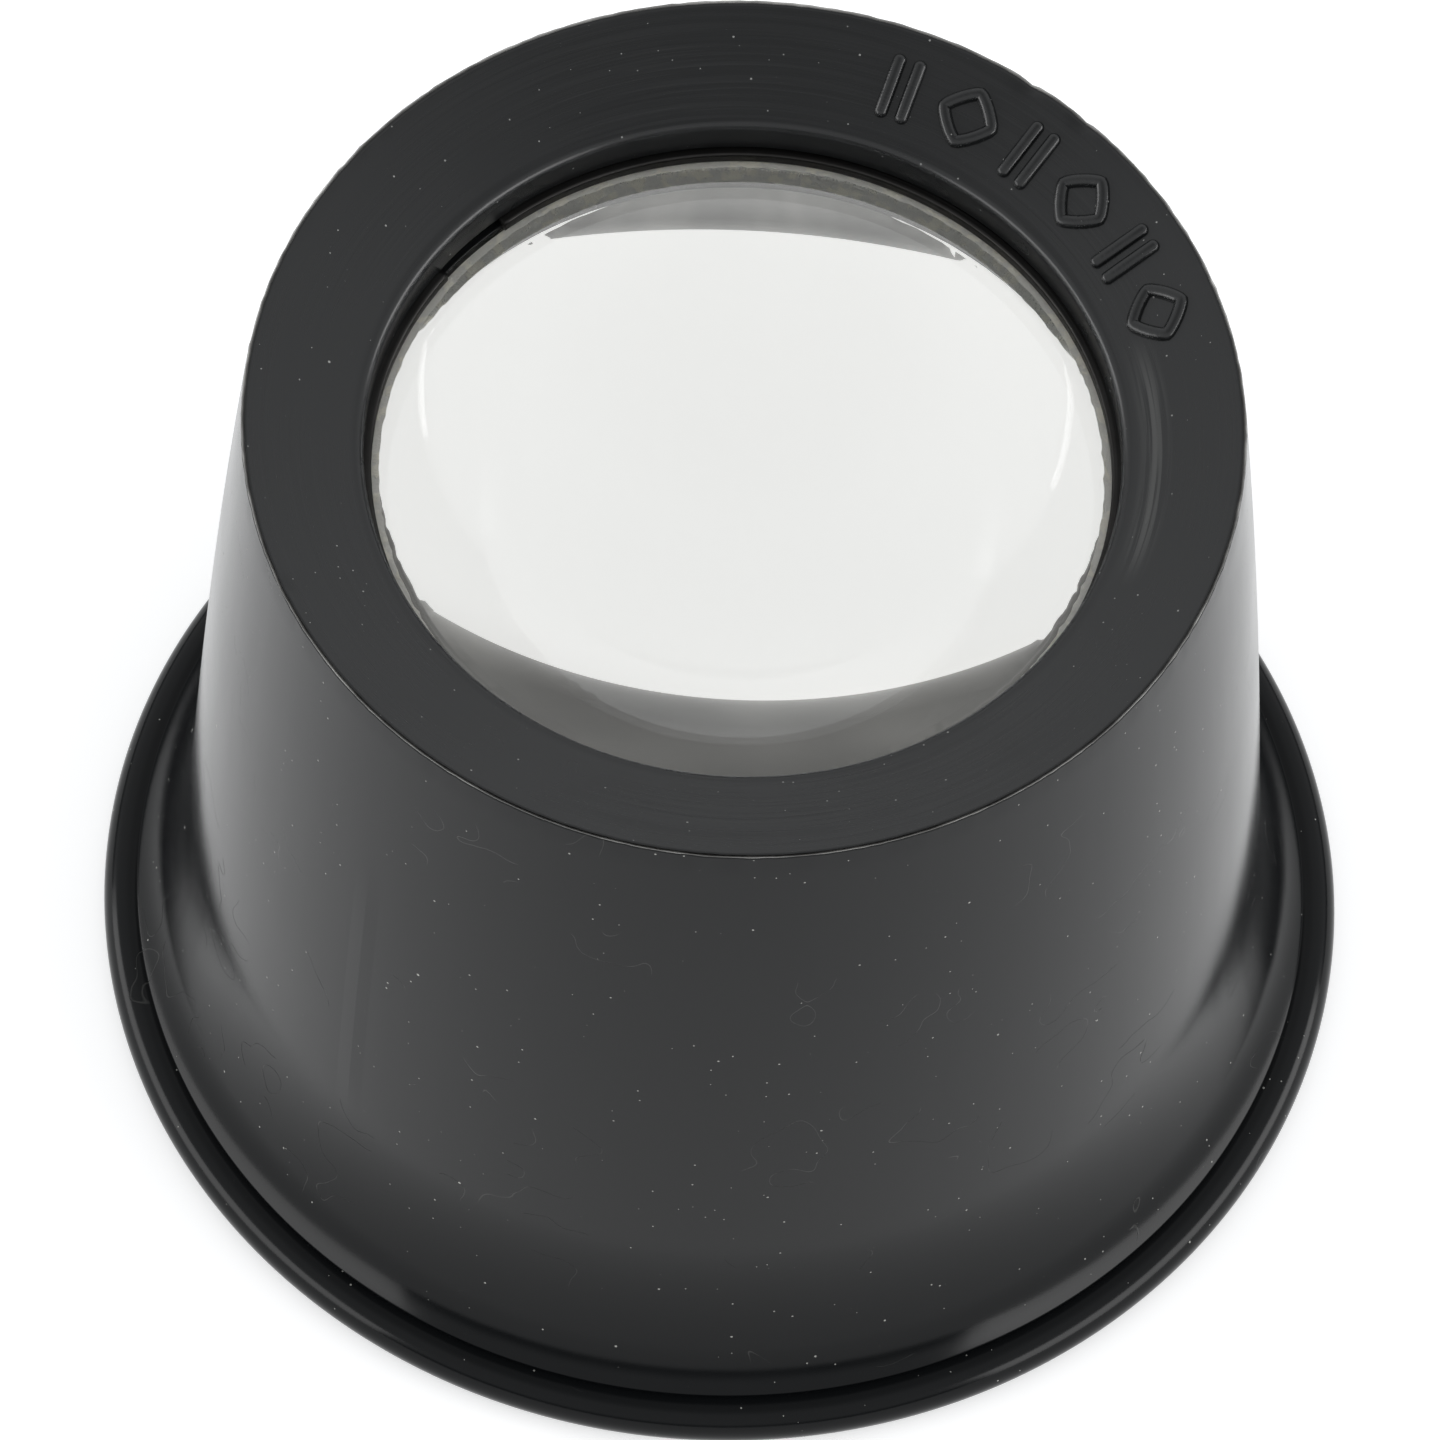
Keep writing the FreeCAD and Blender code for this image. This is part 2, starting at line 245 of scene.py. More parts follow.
def angle_between(azimuth: np.ndarray, centre: float) -> np.ndarray:
    """Difference of two azimuths, in radians, from minus half a turn to half a turn; centre is in degrees."""
    return (azimuth - math.radians(centre) + math.pi) % TURN - math.pi


@dataclass(frozen=True)
class Thread:
    """A trapezoidal right-hand thread round the axis, at azimuth 0 at its starting height."""

    pitch: float = 1.0
    depth: float = 0.45
    crest: float = 0.22
    base: float = 0.62
    start: float = 23.63

    def relief(
        self, height: np.ndarray, azimuth: np.ndarray, extra: float, turns: float | None
    ) -> np.ndarray:
        """How far the thread stands from its wall.

        The distance along the axis to the nearest turn's middle sets it: full depth within half the crest,
        nothing past half the base and a straight flank between.

        Args:
            height: Heights of the wall's points.
            azimuth: Their azimuths, from 0 to a full turn.
            extra: Clearance added to half the width.
            turns: Length of the thread in turns, or None for one that runs right through.

        Returns:
            The relief in millimetres, of the broadcast shape.
        """
        travelled = (height - self.start) / self.pitch - azimuth / TURN
        turn = np.round(travelled)
        if turns is not None:
            last = np.floor(turns - azimuth / TURN)
            turn = np.clip(turn, 0, last)
        off = np.abs(travelled - turn) * self.pitch
        flank = (self.base / 2 + extra - off) / ((self.base - self.crest) / 2)
        fade = 1.0
        if turns is not None:
            place = turn + azimuth / TURN
            fade = np.clip(np.minimum(place, turns - place) / 0.05, 0, 1)
        return self.depth * np.clip(flank, 0, 1) * fade


THREAD = Thread()


# ---------------------------------------------------------------- shader graphs


class Value:
    """A number that varies over a surface; Python's operators on it add Math nodes."""

    def __init__(self, graph: "Graph", socket: bpy.types.NodeSocket) -> None:
        """Wrap an output socket of the graph."""
        self.graph, self.socket = graph, socket

    def math(self, operation: str, *terms: "Value | float", clamp: bool = False) -> "Value":
        """Add a Math node that works on these terms in order, and return its result."""
        settings = {"operation": operation, "use_clamp": clamp}
        return self.graph.value("ShaderNodeMath", settings, dict(enumerate(terms)))

    def __add__(self, other: "Value | float") -> "Value":
        """Sum."""
        return self.math("ADD", self, other)

    def __sub__(self, other: "Value | float") -> "Value":
        """Difference."""
        return self.math("SUBTRACT", self, other)

    def __rsub__(self, other: float) -> "Value":
        """Difference from a plain number."""
        return self.math("SUBTRACT", other, self)

    def __mul__(self, other: "Value | float") -> "Value":
        """Product."""
        return self.math("MULTIPLY", self, other)

    def __truediv__(self, other: "Value | float") -> "Value":
        """Quotient."""
        return self.math("DIVIDE", self, other)

    def __pow__(self, other: float) -> "Value":
        """Power."""
        return self.math("POWER", self, other)

    __radd__, __rmul__ = __add__, __mul__

    def ramp(self, low: float, high: float) -> "Value":
        """0 below low, 1 above high and smooth between; low may be the larger one."""
        sockets = {"Value": self, "From Min": low, "From Max": high, "To Min": 0.0, "To Max": 1.0}
        settings = {"interpolation_type": "SMOOTHSTEP"}
        return self.graph.value("ShaderNodeMapRange", settings, sockets)


class Graph:
    """The node tree of one material, or of the sky."""

    def __init__(
        self, owner: bpy.types.Material | bpy.types.World, output: str = "ShaderNodeOutputMaterial"
    ) -> None:
        """Empty the owner's tree and give it an output node."""
        self.owner = owner
        self.owner.use_nodes = True
        self.tree = self.owner.node_tree
        self.tree.nodes.clear()
        self.output = self.node(output, {}, {})

    @classmethod
    def named(cls, name: str) -> "Graph":
        """The tree of a new material."""
        return cls(bpy.data.materials.new(name))

    def node(self, kind: str, settings: dict, sockets: dict) -> bpy.types.Node:
        """Add a node.

        Args:
            kind: Its type.
            settings: Properties of the node, set first.
            sockets: Values, Value objects or output sockets for its inputs, by name or number.

        Returns:
            The new node.
        """
        node = self.tree.nodes.new(kind)
        for key, setting in settings.items():
            setattr(node, key, setting)
        for key, given in sockets.items():
            source = given.socket if isinstance(given, Value) else given
            if isinstance(source, bpy.types.NodeSocket):
                self.tree.links.new(source, node.inputs[key])
            else:
                node.inputs[key].default_value = source
        return node

    def value(self, kind: str, settings: dict, sockets: dict, output: int | str = 0) -> Value:
        """Add a node and return one of its outputs as a Value."""
        return Value(self, self.node(kind, settings, sockets).outputs[output])

    def place(self) -> bpy.types.NodeSocket:
        """Object coordinates in millimetres."""
        metres = self.node("ShaderNodeTexCoord", {}, {}).outputs["Object"]
        sockets = {0: metres, "Scale": 1 / MM}
        return self.node("ShaderNodeVectorMath", {"operation": "SCALE"}, sockets).outputs[0]

    def parts(self, place: bpy.types.NodeSocket) -> tuple:
        """The three numbers of a vector, as Values."""
        split = self.node("ShaderNodeSeparateXYZ", {}, {0: place})
        return tuple(Value(self, socket) for socket in split.outputs)

    def from_axis(self, x: Value, y: Value) -> Value:
        """Distance from the vertical axis."""
        sockets = {0: self.vector(x, y, 0.0)}
        return self.value("ShaderNodeVectorMath", {"operation": "LENGTH"}, sockets, "Value")

    def vector(self, x: Value | float, y: Value | float, z: Value | float) -> bpy.types.NodeSocket:
        """A vector from three numbers."""
        return self.node("ShaderNodeCombineXYZ", {}, {0: x, 1: y, 2: z}).outputs[0]

    def noise(self, place: bpy.types.NodeSocket, scale: float, detail: float = 2.0) -> Value:
        """Soft noise from 0 to 1, with about scale patches to a unit of place."""
        return self.value("ShaderNodeTexNoise", {}, {"Vector": place, "Scale": scale, "Detail": detail})

    def specks(self, place: bpy.types.NodeSocket, scale: float, share: float, size: float) -> Value:
        """Scattered round specks.

        Args:
            place: Coordinates.
            scale: Cells to a unit of place.
            share: Share of the cells that hold a speck.
            size: Speck radius in cells.

        Returns:
            1 on a speck and 0 elsewhere.
        """
        cells = self.node("ShaderNodeTexVoronoi", {"feature": "F1"}, {"Vector": place, "Scale": scale})
        chosen = self.parts(cells.outputs["Color"])
        grown = chosen[1] * size + size * 0.3
        present = chosen[0].math("LESS_THAN", chosen[0], share)
        near = (grown - Value(self, cells.outputs["Distance"])) / (size * 0.35)
        return near.math("MINIMUM", near, 1.0, clamp=True) * present

    def tint(self, factor: Value | float, first: tuple, second: tuple) -> bpy.types.NodeSocket:
        """Mix two colours, or colour sockets, by factor."""
        settings = {"data_type": "RGBA"}
        colours = [(*c, 1.0) if isinstance(c, tuple) else c for c in (first, second)]
        return self.node("ShaderNodeMix", settings, {0: factor, 6: colours[0], 7: colours[1]}).outputs[2]

    def dust(self, place: bpy.types.NodeSocket, fine: tuple, coarse: tuple) -> Value:
        """Dust of two sizes, each (cells to a unit, share of cells, radius in cells); fine is fainter."""
        small = self.specks(place, *fine) * 0.8
        large = self.specks(place, *coarse)
        return small.math("MAXIMUM", small, large)

    def hairline(self, across: Value, middle: float, half: float) -> Value:
        """A line where across is near middle: 1 along it, falling to 0 at half away."""
        left = (across - (middle - half)) / half
        return left.math("MINIMUM", left, ((middle + half) - across) / half, clamp=True)

    def bump(self, height: Value, distance: float, strength: float = 1.0) -> bpy.types.NodeSocket:
        """Normal of a surface raised by height times distance, in millimetres."""
        sockets = {"Height": height, "Distance": distance * MM, "Strength": strength}
        return self.node("ShaderNodeBump", {}, sockets).outputs["Normal"]

    def surface(self, sockets: dict) -> bpy.types.Material:
        """Finish the material with a Principled shader that has these sockets."""
        shader = self.node("ShaderNodeBsdfPrincipled", {}, sockets)
        self.tree.links.new(shader.outputs[0], self.output.inputs["Surface"])
        return self.owner


# ---------------------------------------------------------------- finishes


@dataclass(frozen=True)
class MouldedPlastic:
    """Glossy black moulding with faint flow waves, handling haze and a little dust."""

    name: str = "moulded black plastic"
    colour: tuple = (0.0026, 0.0030, 0.0034)
    dust: tuple = (0.30, 0.30, 0.28)
    roughness: float = 0.16
    specular: float = 0.17
    fine: tuple = (2.3, 0.8, 0.075)
    coarse: tuple = (0.8, 0.3, 0.045)
    mouth: float = 28.0
    sink_azimuth: float = 228.0
    sink_half_width: float = 0.5

    def build(self) -> bpy.types.Material:
        """Make the material."""
        graph = Graph.named(self.name)
        place = graph.place()
        x, y, z = graph.parts(place)
        haze = graph.noise(place, 0.22, 3.0)
        grain = graph.noise(place, 6.0, 3.0)
        specks = graph.dust(place, self.fine, self.coarse)
        hair_areas = graph.noise(place, 0.3, 0.0).ramp(0.6, 0.64)
        hairs = graph.hairline(graph.noise(place, 0.42, 1.0), 0.5, 0.0022) * hair_areas
        # The sink mark is an upright line: it fades at both ends and is only on the front half.
        turn = math.radians(self.sink_azimuth)
        across = y * math.cos(turn) - x * math.sin(turn)
        upright = z.ramp(6.5, 10.0) * (1 - z.ramp(17.0, 21.5)) * (0 - y).ramp(0.0, 4.0)
        sink = graph.hairline(across, 0.0, self.sink_half_width) * upright
        flow = graph.noise(graph.vector(x, y, z * 0.12), 0.55, 1.5)
        edge = z.ramp(self.mouth - 0.14, self.mouth - 0.05)
        height = flow * 0.9 + grain * 0.012 + specks * 0.4 - hairs * 0.25 + sink * 1.6
        wear = (haze - 0.5) * 0.10 + (grain - 0.5) * 0.03
        return graph.surface(
            {
                "Base Color": graph.tint(specks + hairs * 0.09, self.colour, self.dust),
                "Roughness": self.roughness + wear + specks * 0.4 + edge * 0.6,
                "Specular IOR Level": self.specular,
                "Normal": graph.bump(height, 0.012),
            }
        )


@dataclass(frozen=True)
class PaintedLightBore:
    """The cup's inside: satin black plastic painted pale grey as painted light inside the cup, with draw
    lines that run up from the rim, their paler colour painted light too.
    """

    name: str = "black bore with painted light"
    # Both greys are painted light: the black inside is coloured pale for the light seen in it through the
    # lens.
    colour: tuple = (0.17, 0.167, 0.16)
    line: tuple = (0.36, 0.355, 0.34)

    def build(self) -> bpy.types.Material:
        """Make the material."""
        graph = Graph.named(self.name)
        place = graph.place()
        x, y, z = graph.parts(place)
        radius = graph.from_axis(x, y)
        draw = graph.noise(graph.vector(x / radius * 9.0, y / radius * 9.0, z * 0.06), 1.0, 3.0)
        grain = graph.noise(place, 7.0, 2.0)
        return graph.surface(
            {
                # Painted light: the pale base and the paler draw lines stand for light inside the cup; the
                # draw lines are also real marks in the bump.
                "Base Color": graph.tint(draw.ramp(0.4, 0.65), self.colour, self.line),
                "Roughness": 0.34 + (grain - 0.5) * 0.1,
                "Specular IOR Level": 0.5,
                "Normal": graph.bump(draw + grain * 0.04, 0.03),
            }
        )


@dataclass(frozen=True)
class TurnedPlastic:
    """The same plastic cut on a lathe: concentric tool lines, scuffs and dust on the dished face."""

    name: str = "turned black plastic"
    colour: tuple = (0.0048, 0.0053, 0.0056)
    dust: tuple = (0.28, 0.28, 0.27)
    roughness: float = 0.27
    specular: float = 0.5
    fine: tuple = (2.6, 0.7, 0.075)
    coarse: tuple = (0.9, 0.3, 0.045)
    face_radius: float = 14.4
    rub_radius: float = 11.9
    rub_half_width: float = 0.5

    def build(self) -> bpy.types.Material:
        """Make the material."""
        graph = Graph.named(self.name)
        place = graph.place()
        x, y, z = graph.parts(place)
        radius = graph.from_axis(x, y)
        tool_place = graph.vector(x / radius * 1.6, y / radius * 1.6, radius * 7.0)
        tool = graph.noise(tool_place, 1.0, 4.0)
        where = graph.noise(graph.vector(x / radius, y / radius, radius * 0.2), 1.3, 1.0).ramp(0.42, 0.68)
        grain = graph.noise(place, 9.0, 3.0)
        specks = graph.dust(place, self.fine, self.coarse)
        haze = graph.noise(place, 0.35, 2.0)
        # The tool lines are deepest at the back; the face is rubbed pale in a short arc at the right.
        where = where + (y / radius).ramp(0.84, 0.98)
        right = (x / radius).ramp(0.93, 0.99)
        worn = graph.hairline(radius, self.rub_radius, self.rub_half_width) * right * tool.ramp(0.4, 0.55)
        edge = radius.ramp(self.face_radius - 0.1, self.face_radius - 0.03)
        height = tool * (where * 0.8 + 0.15) + grain * 0.05 + specks * 0.5
        wear = (haze - 0.5) * 0.12 + (tool - 0.5) * where * 0.3
        return graph.surface(
            {
                "Base Color": graph.tint(specks + worn * 0.16, self.colour, self.dust),
                "Roughness": self.roughness + wear + specks * 0.4 + edge * 0.5,
                "Specular IOR Level": self.specular,
                "Normal": graph.bump(height, 0.014),
            }
        )


@dataclass(frozen=True)
class PolishedGlass:
    """Clear polished optical glass."""

    name: str = "polished glass"
    colour: tuple = (0.985, 0.992, 0.988)
    index: float = GLASS_INDEX

    def build(self) -> bpy.types.Material:
        """Make the material."""
        graph = Graph.named(self.name)
        place = graph.place()
        specks = graph.specks(place, 1.1, 0.06, 0.03)
        return graph.surface(
            {
                "Base Color": (*self.colour, 1.0),
                "Roughness": specks * 0.3,
                "IOR": self.index,
                "Transmission Weight": 1.0,
            }
        )


@dataclass(frozen=True)
class GroundGlass:
    """The fine-ground rim of the lens, pale and chipped along its bevels."""

    name: str = "ground glass rim"
    colour: tuple = (0.78, 0.77, 0.72)
    worn: tuple = (0.95, 0.92, 0.80)

    def build(self) -> bpy.types.Material:
        """Make the material."""
        graph = Graph.named(self.name)
        place = graph.place()
        chips = graph.noise(place, 2.2, 4.0).ramp(0.48, 0.62)
        grit = graph.noise(place, 14.0, 3.0)
        return graph.surface(
            {
                "Base Color": graph.tint(chips, self.colour, self.worn),
                "Roughness": 0.55 + grit * 0.25,
                "IOR": GLASS_INDEX,
                "Transmission Weight": 0.55,
                "Normal": graph.bump(grit + chips * 0.6, 0.03),
            }
        )


@dataclass(frozen=True)
class SpringSteel:
    """Blackened spring wire, drawn lengthwise so its lines run round the hoop."""

    name: str = "blackened spring steel"
    colour: tuple = (0.045, 0.044, 0.043)
    stained: tuple = (0.02, 0.019, 0.018)

    def build(self) -> bpy.types.Material:
        """Make the material."""
        graph = Graph.named(self.name)
        place = graph.place()
        x, y, z = graph.parts(place)
        radius = graph.from_axis(x, y)
        lines = graph.noise(graph.vector(x / radius * 2.0, y / radius * 2.0, (radius + z) * 16.0), 1.0, 3.0)
        stain = graph.noise(place, 0.8, 3.0)
        return graph.surface(
            {
                "Base Color": graph.tint(stain, self.colour, self.stained),
                "Roughness": 0.28 + lines * 0.2,
                "Metallic": 1.0,
                "Normal": graph.bump(lines, 0.01),
            }
        )


@dataclass(frozen=True)
class FloorWithPaintedLightPool:
    """Matt white sheet over a light table, glowing evenly; where the loupe stands it glows brighter, a
    painted pool of light for the floor seen through the lens.
    """

    name: str = "white sheet"
    painted_pool_radius: float = 16.9
    glow: float = 0.72
    rest: float = 0.55
    fade: float = 0.6

    def build(self) -> bpy.types.Material:
        """Make the material."""
        graph = Graph.named(self.name)
        x, y, _ = graph.parts(graph.place())
        radius = graph.from_axis(x, y)
        # Painted pool of light: within the pool's radius under the loupe the floor glows brighter, fading out
        # over the fade width.
        painted_pool = 1 - radius.ramp(self.painted_pool_radius, self.painted_pool_radius + self.fade)
        return graph.surface(
            {
                "Base Color": (0.86, 0.86, 0.86, 1.0),
                "Roughness": 0.9,
                "Specular IOR Level": 0.0,
                "Emission Color": graph.tint(painted_pool, (self.rest,) * 3, (1.0, 0.998, 0.985)),
                "Emission Strength": self.glow,
            }
        )


def dress(piece: bpy.types.Object, body: str, materials: list, nodes: tuple = ()) -> None:
    """Give a piece its materials, its CAD body and the CAD nodes that it stands for."""
    for material in materials:
        piece.data.materials.append(material)
    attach(piece, body)
    if nodes:
        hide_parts(*nodes)
    log.info("%s rides on %s with %d faces", piece.name, body, len(piece.data.polygons))


# ---------------------------------------------------------------- the loupe's pieces


@dataclass
class Dent:
    """A knock on the mouth's edge: where it is, how wide and how deep."""

    azimuth: float
    width: float
    depth: float

    def drop(self, azimuth: np.ndarray, from_edge: np.ndarray, edge_radius: float) -> np.ndarray:
        """How far the dent pushes points down: a bell round the edge times a bell away from it."""
        along = angle_between(azimuth, self.azimuth) * edge_radius
        return self.depth * bell(along, self.width) * bell(from_edge, self.width * 0.8)


@dataclass
class EyeCup:
    """The moulded shell with its flared foot, beaded eye rim and threaded collar."""

    top: float
    foot_radius: float = 15.93
    foot_height: float = 7.3
    mouth_radius: float = 14.5
    side_curve: float = 424.0
    flare_radius: float = 16.72
    flare_height: float = 2.95
    flare_curve: float = 18.0
    foot_fillet: float = 3.43
    flange_radius: float = 17.54
    bead_radius: float = 0.8
    bead_offset: float = 0.2
    foot_wall: float = 0.75
    land: float = 0.5
    rim_round: float = 0.5
    rim_flare_height: float = 3.0
    rim_flare_curve: float = 2.4
    collar_radius: float = 12.38
    collar_drop: float = 1.65
    collar_length: float = 3.25
    seat_cone: float = 1.65
    relief: float = 0.75
    relief_slope: float = 0.5
    columns: int = 360

    def outline(self) -> np.ndarray:
        """The shell's closed section: mouth's edge, collar, cavity, rim, then up the barrel."""
        bead = self.flange_radius + self.bead_offset
        land = bead - self.land
        bead_top = self.bead_radius + math.sqrt(self.bead_radius**2 - self.bead_offset**2)
        collar_top = self.top - self.collar_drop
        collar_bottom = collar_top - self.collar_length
        shape = Outline()
        shape.corner(self.mouth_radius, self.top, 0.006)
        shape.run(self.mouth_radius - self.seat_cone, collar_top, 6, 0.03)
        shape.corner(self.collar_radius, collar_top, 0.03)
        shape.run(self.collar_radius, collar_bottom, 65, 0.0)
        shape.corner(self.collar_radius + self.relief, collar_bottom - self.relief_slope, 0.08)
        shape.run(self.foot_radius - self.foot_wall, self.rim_flare_height, 24)
        shape.arc(land - self.rim_round, self.rim_round, self.rim_flare_curve, Side.LEFT, 16)
        shape.arc(land, 0.0, self.rim_round, Side.LEFT, 8)
        shape.corner(bead, 0.0)
        shape.arc(bead + self.bead_radius, self.bead_radius, self.bead_radius, Side.LEFT, 14)
        shape.arc(self.flange_radius, bead_top, self.bead_radius, Side.LEFT, 14, 0.02)
        shape.arc(self.flare_radius, self.flare_height, self.foot_fillet, Side.RIGHT, 14)
        shape.arc(self.foot_radius, self.foot_height, self.flare_curve, Side.RIGHT, 16)
        shape.arc(self.mouth_radius, self.top, self.side_curve, Side.LEFT, 40)
        return shape.closed(meets_start=True)

    def build(self, dents: list) -> bpy.types.Object:
        """Turn the section round the axis, cut the collar's thread and wear the mouth's edge."""
        section = self.outline()
        radius, height = section[:, :1], section[:, 1:]
        azimuth = around(self.columns)
        collar_top = self.top - self.collar_drop
        inside = (np.abs(radius - self.collar_radius) < 0.04) & (height < collar_top - 0.05)
        inside &= height > collar_top - self.collar_length + 0.01
        cut = np.where(inside, THREAD.relief(height, azimuth, 0.08, None), 0.0)
        from_edge = np.hypot(radius - self.mouth_radius, height - self.top)
        rough = bell(from_edge, 0.14)
        worn = rough * (0.018 * ripple(azimuth, 3, 60, 340, 40) - 0.012)
        sag = sum(dent.drop(azimuth, from_edge, self.mouth_radius) for dent in dents)
        points = turned(radius + cut + worn, np.minimum(height + worn * 0.6 - sag, self.top), azimuth)
        quads = grid_quads(len(section), self.columns, True, True)
        rim = int(np.argmax(section[:, 1] < 0.001))
        slots = np.repeat(np.arange(len(section)) < rim, self.columns).astype(int)
        return make_mesh("cup_shell", points, quads.tolist(), slots)


@dataclass
class FrontRing:
    """The screw-in ring: dished face, lens bore with the snap groove, lens ledge and threaded skirt."""

    top: float
    radius: float = 14.4
    bore: float = 10.96
    dish: float = 1.36
    lip: float = 0.3
    flange: float = 1.6
    skirt: float = 12.3
    skirt_bottom: float = 22.08
    ledge_top: float = 22.98
    ledge_radius: float = 10.5
    chamfer: float = 0.25
    groove_bottom: float = 25.06
    groove_top: float = 25.56
    groove_radius: float = 11.4
    turns: float = 2.2
    columns: int = 360

    @property
    def slope(self) -> float:
        """Rise of the face over its run."""
        return self.dish / (self.radius - self.bore)

    def outline(self) -> np.ndarray:
        """The ring's closed section, from the face's outer edge to the bore, the ledge and the skirt."""
        lip_height = self.top - self.dish + self.lip * self.slope
        underside = self.top - self.flange
        shape = Outline()
        shape.corner(self.radius, self.top, 0.008)
        shape.run(self.bore + self.lip, lip_height, 20)
        shape.arc(self.bore, lip_height - self.lip, self.lip, Side.LEFT, 10)
        shape.corner(self.bore, self.groove_top, 0.03)
        shape.corner(self.groove_radius, self.groove_top, 0.03)
        shape.corner(self.groove_radius, self.groove_bottom, 0.03)
        shape.corner(self.bore, self.groove_bottom, 0.03)
        shape.corner(self.bore, self.ledge_top, 0.04)
        shape.corner(self.ledge_radius, self.ledge_top, 0.06)
        shape.corner(self.ledge_radius, self.skirt_bottom, 0.05)
        shape.corner(self.skirt - self.chamfer, self.skirt_bottom, 0.04)
        shape.corner(self.skirt, self.skirt_bottom + self.chamfer, 0.04)
        shape.run(self.skirt, underside, 80, 0.05)
        shape.corner(self.radius - self.flange, underside, 0.04)
        return shape.closed()

    def build(self, dents: list) -> bpy.types.Object:
        """Turn the section round the axis, raise the skirt's thread and wear the face's edge."""
        section = self.outline()
        radius, height = section[:, :1], section[:, 1:]
        azimuth = around(self.columns)
        outside = (np.abs(radius - self.skirt) < 0.03) & (height > self.skirt_bottom + self.chamfer + 0.1)
        outside &= height < self.top - self.flange - 0.1
        ridge = np.where(outside, THREAD.relief(height, azimuth, 0.0, self.turns), 0.0)
        from_edge = np.hypot(radius - self.radius, height - self.top)
        worn = bell(from_edge, 0.12) * (0.02 * ripple(azimuth, 8, 50, 300, 40) - 0.012)
        sag = sum(dent.drop(azimuth, from_edge, self.radius) for dent in dents)
        points = turned(radius + ridge, np.minimum(height + worn - sag, self.top), azimuth)
        quads = grid_quads(len(section), self.columns, True, True)
        return make_mesh("ring_turning", points, quads.tolist())


class Mark(Enum):
    """The two raised marks of the face."""

    TWIN_BARS = "twin bars"
    LOZENGE = "open lozenge"


@dataclass
class FaceMarks:
    """A row of plain raised marks on the dished face, twin bars and open lozenges in turn."""

    top: float
    slope: float
    face_radius: float = 14.4
    radius: float = 12.75
    first: float = 71.5
    step: float = 9.8
    count: int = 6
    length: float = 2.0
    stroke: float = 0.42
    relief: float = 0.2

    def bar(self, across: float) -> np.ndarray:
        """A capsule along the slope: a half ellipse carried along a line, closed by half ellipsoids.

        Latitude runs from one tip to the other and longitude round the bar; the two ends shift apart by the
        straight part's length.

        Args:
            across: Sideways offset of the bar.

        Returns:
            Grid of points, shape (rows, columns, 3), in the mark's own frame.
        """
        latitude = np.linspace(0, math.pi, 22)[:, None]
        longitude = (np.arange(20) / 20 * TURN)[None, :]
        straight = (self.length - self.stroke) / 2
        shift = straight * np.clip(np.cos(latitude) * 6, -1, 1)
        x = shift + self.stroke / 2 * np.cos(latitude) + 0 * longitude
        y = across + self.stroke / 2 * np.sin(latitude) * np.cos(longitude)
        z = self.relief * np.sin(latitude) * np.sin(longitude)
        return np.stack([x, y, z], axis=-1)

    def lozenge(self) -> np.ndarray:
        """A closed rounded lozenge: an ellipse carried round |x|^p + |y|^p = constant, p over 1.

        Returns:
            Grid of points, shape (rows, columns, 3), in the mark's own frame.
        """
        angle = (np.arange(72) / 72 * TURN)[:, None]
        power = 1.22
        reach = (self.length - self.stroke) / 2
        cosine, sine = np.cos(angle), np.sin(angle)
        size = reach / (np.abs(cosine) ** power + np.abs(sine) ** power) ** (1 / power)
        path = np.concatenate([size * cosine, size * sine], axis=1)
        ahead = np.roll(path, -1, 0) - np.roll(path, 1, 0)
        normal = np.stack([ahead[:, 1], -ahead[:, 0]], axis=1) / np.hypot(ahead[:, 0], ahead[:, 1])[:, None]
        section = (np.arange(16) / 16 * TURN)[None, :]
        side = self.stroke / 2 * np.cos(section)
        x = path[:, :1] + normal[:, :1] * side
        y = path[:, 1:] + normal[:, 1:] * side
        z = self.relief * np.sin(section) + 0 * x
        return np.stack([x, y, z], axis=-1)

    def place(self, grid: np.ndarray, azimuth: float) -> np.ndarray:
        """Set a mark on the face: its x runs up the slope, y round the ring and z out of the face."""
        tilt = math.atan(self.slope)
        height = self.top - (self.face_radius - self.radius) * self.slope
        out = self.radius + grid[..., 0] * math.cos(tilt) - grid[..., 2] * math.sin(tilt)
        up = height + grid[..., 0] * math.sin(tilt) + grid[..., 2] * math.cos(tilt)
        cosine, sine = math.cos(azimuth), math.sin(azimuth)
        x = out * cosine - grid[..., 1] * sine
        y = out * sine + grid[..., 1] * cosine
        return np.stack([x, y, up], axis=-1).reshape(-1, 3)

    def build(self) -> bpy.types.Object:
        """Make every mark as its own closed skin and join them in one mesh."""
        points, faces, total = [], [], 0
        offset = (self.length - self.stroke) / 5
        for index in range(self.count):
            azimuth = math.radians(self.first - index * self.step)
            kind = (Mark.TWIN_BARS, Mark.LOZENGE)[index % 2]
            grids = [self.bar(-offset), self.bar(offset)] if kind is Mark.TWIN_BARS else [self.lozenge()]
            for grid in grids:
                rows, columns = grid.shape[:2]
                quads = grid_quads(rows, columns, kind is Mark.LOZENGE, True) + total
                points.append(self.place(grid, azimuth))
                faces.append(quads)
                total += rows * columns
        piece = make_mesh("face_marks", np.vstack(points), np.vstack(faces).tolist())
        weld(piece)
        return piece


def weld(piece: bpy.types.Object) -> None:
    """Merge points that coincide, as at a grid's poles, and drop the faces that vanish."""
    work = bmesh.new()
    work.from_mesh(piece.data)
    bmesh.ops.remove_doubles(work, verts=work.verts, dist=1e-8)
    bmesh.ops.dissolve_degenerate(work, edges=work.edges, dist=1e-9)
    work.to_mesh(piece.data)
    work.free()


